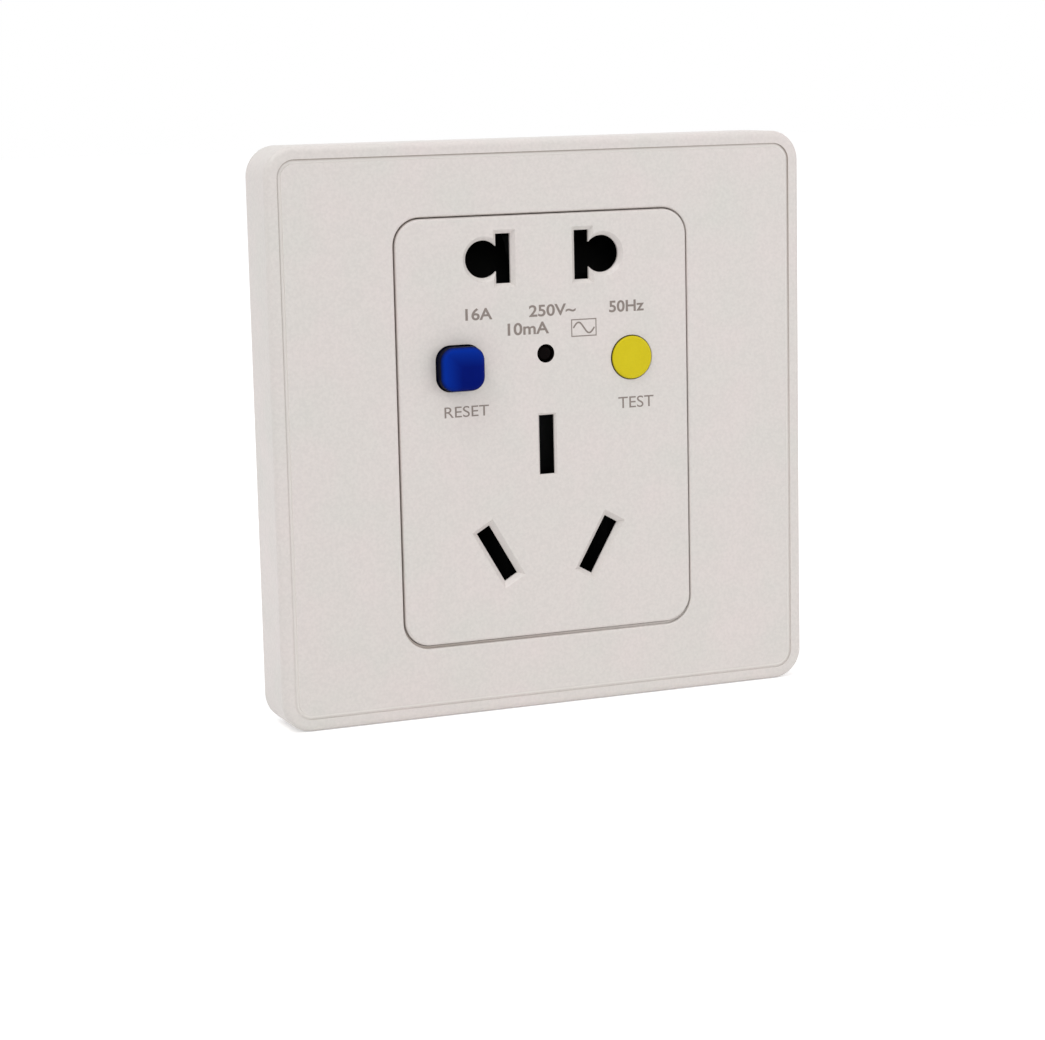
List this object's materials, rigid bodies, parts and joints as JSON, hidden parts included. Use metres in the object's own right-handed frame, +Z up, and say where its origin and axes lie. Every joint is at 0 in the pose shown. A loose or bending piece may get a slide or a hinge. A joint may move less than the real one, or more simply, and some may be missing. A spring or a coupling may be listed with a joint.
{
  "type": "residual current wall socket",
  "caption": "Square wall socket with a removable cover frame, a two-pin and a slanted three-pin outlet, a RESET and a TEST button and an indicator hole, for a flush wall box.",
  "frame": {"origin": "centre of the plate in the wall plane", "axes": "+X to the right seen from the front, +Y into the wall, +Z up; the face looks along -Y"},
  "size_m": [0.086, 0.0396, 0.086],
  "materials": {
    "white_polycarbonate": "satin moulded polycarbonate",
    "blue_cap": "moulded, slightly glossy",
    "yellow_cap": "moulded, slightly glossy",
    "black_acetal": "moulded acetal",
    "black_nylon": "flame retardant nylon",
    "grey_nylon": "flame retardant nylon",
    "brass": "stamped strip",
    "tinned_brass": "machined block",
    "steel": "zinc plated",
    "spring_steel": "drawn wire",
    "copper_winding": "enamelled wire",
    "board_laminate": "solder mask on glass laminate",
    "ferrite": "ring core",
    "red_insulation": "vinyl insulation",
    "blue_insulation": "vinyl insulation",
    "blue_epoxy": "dipped epoxy",
    "capacitor_case": "potted case",
    "capacitor_sleeve": "shrink sleeve",
    "chip_epoxy": "moulded epoxy",
    "resistor_coat": "lacquered body",
    "led_resin": "tinted epoxy"
  },
  "bodies": {
    "socket": {"cover_frame": "white_polycarbonate", "face_panel": "white_polycarbonate", "mounting_plate": "grey_nylon", "rear_housing": "grey_nylon", "contact_block": "black_nylon", "two_pin_shutter_spring": "spring_steel", "three_pin_shutter_spring": "spring_steel", "line_contact": "brass", "neutral_contact": "brass", "earth_contact": "brass", "line_input_contact": "brass", "neutral_input_contact": "brass", "reset_spring": "spring_steel", "test_spring": "brass", "test_post": "brass", "carrier_spring": "spring_steel", "coil_bobbin": "black_nylon", "coil_winding": "copper_winding", "coil_yoke": "steel", "circuit_board": "board_laminate", "sensor_case": "black_nylon", "sensor_core": "ferrite", "line_conductor": "red_insulation", "neutral_conductor": "blue_insulation", "varistor": "blue_epoxy", "film_capacitor": "capacitor_case", "electrolytic_capacitor": "capacitor_sleeve", "control_chip": "chip_epoxy", "thyristor": "chip_epoxy", "resistors": "resistor_coat", "diodes": "chip_epoxy", "indicator_led": "led_resin", "line_terminal": "tinned_brass", "neutral_terminal": "tinned_brass", "earth_terminal": "tinned_brass", "terminal_screws": "steel", "housing_screws": "steel"},
    "reset_button": {"reset_button": "blue_cap", "reset_pin": "steel"},
    "test_button": {"test_button": "yellow_cap"},
    "contact_carrier": {"contact_carrier": "black_nylon", "line_moving_contact": "brass", "neutral_moving_contact": "brass", "latch_spring": "spring_steel"},
    "latch": {"latch_plate": "steel"},
    "trip_plunger": {"trip_plunger": "steel"},
    "two_pin_shutter": {"two_pin_shutter": "black_acetal"},
    "three_pin_shutter": {"three_pin_shutter": "black_acetal"}
  },
  "joints": [
    {"name": "reset_button_slide", "type": "slide", "parent": "socket", "child": "reset_button", "axis": [0, 1, 0], "range_m": [0, 0.0024], "stiffness_N_per_m": 500, "springref_m": -0.002, "deforming": ["reset_spring"]},
    {"name": "test_button_slide", "type": "slide", "parent": "socket", "child": "test_button", "axis": [0, 1, 0], "range_m": [0, 0.0012], "stiffness_N_per_m": 500, "springref_m": -0.0005, "deforming": ["test_spring"]},
    {"name": "contact_carrier_slide", "type": "slide", "parent": "socket", "child": "contact_carrier", "axis": [0, 1, 0], "range_m": [0, 0.0016], "deforming": ["carrier_spring"]},
    {"name": "latch_slide", "type": "slide", "parent": "contact_carrier", "child": "latch", "axis": [-1, 0, 0], "range_m": [0, 0.0018], "deforming": ["latch_spring"]},
    {"name": "trip_plunger_slide", "type": "slide", "parent": "socket", "child": "trip_plunger", "axis": [-1, 0, 0], "range_m": [0, 0.0018], "stiffness_N_per_m": 100, "springref_m": -0.002},
    {"name": "two_pin_shutter_slide", "type": "slide", "parent": "socket", "child": "two_pin_shutter", "axis": [0, 0, -1], "range_m": [0, 0.0079], "stiffness_N_per_m": 60, "springref_m": -0.003, "deforming": ["two_pin_shutter_spring"]},
    {"name": "three_pin_shutter_slide", "type": "slide", "parent": "socket", "child": "three_pin_shutter", "axis": [1, 0, 0], "range_m": [0, 0.0068], "stiffness_N_per_m": 60, "springref_m": -0.003, "deforming": ["three_pin_shutter_spring"]}
  ],
  "couplings": [
    {"joint": "contact_carrier_slide", "follows": "reset_button_slide", "ratio": 0.6666},
    {"joint": "latch_slide", "follows": "trip_plunger_slide", "ratio": 1}
  ]
}
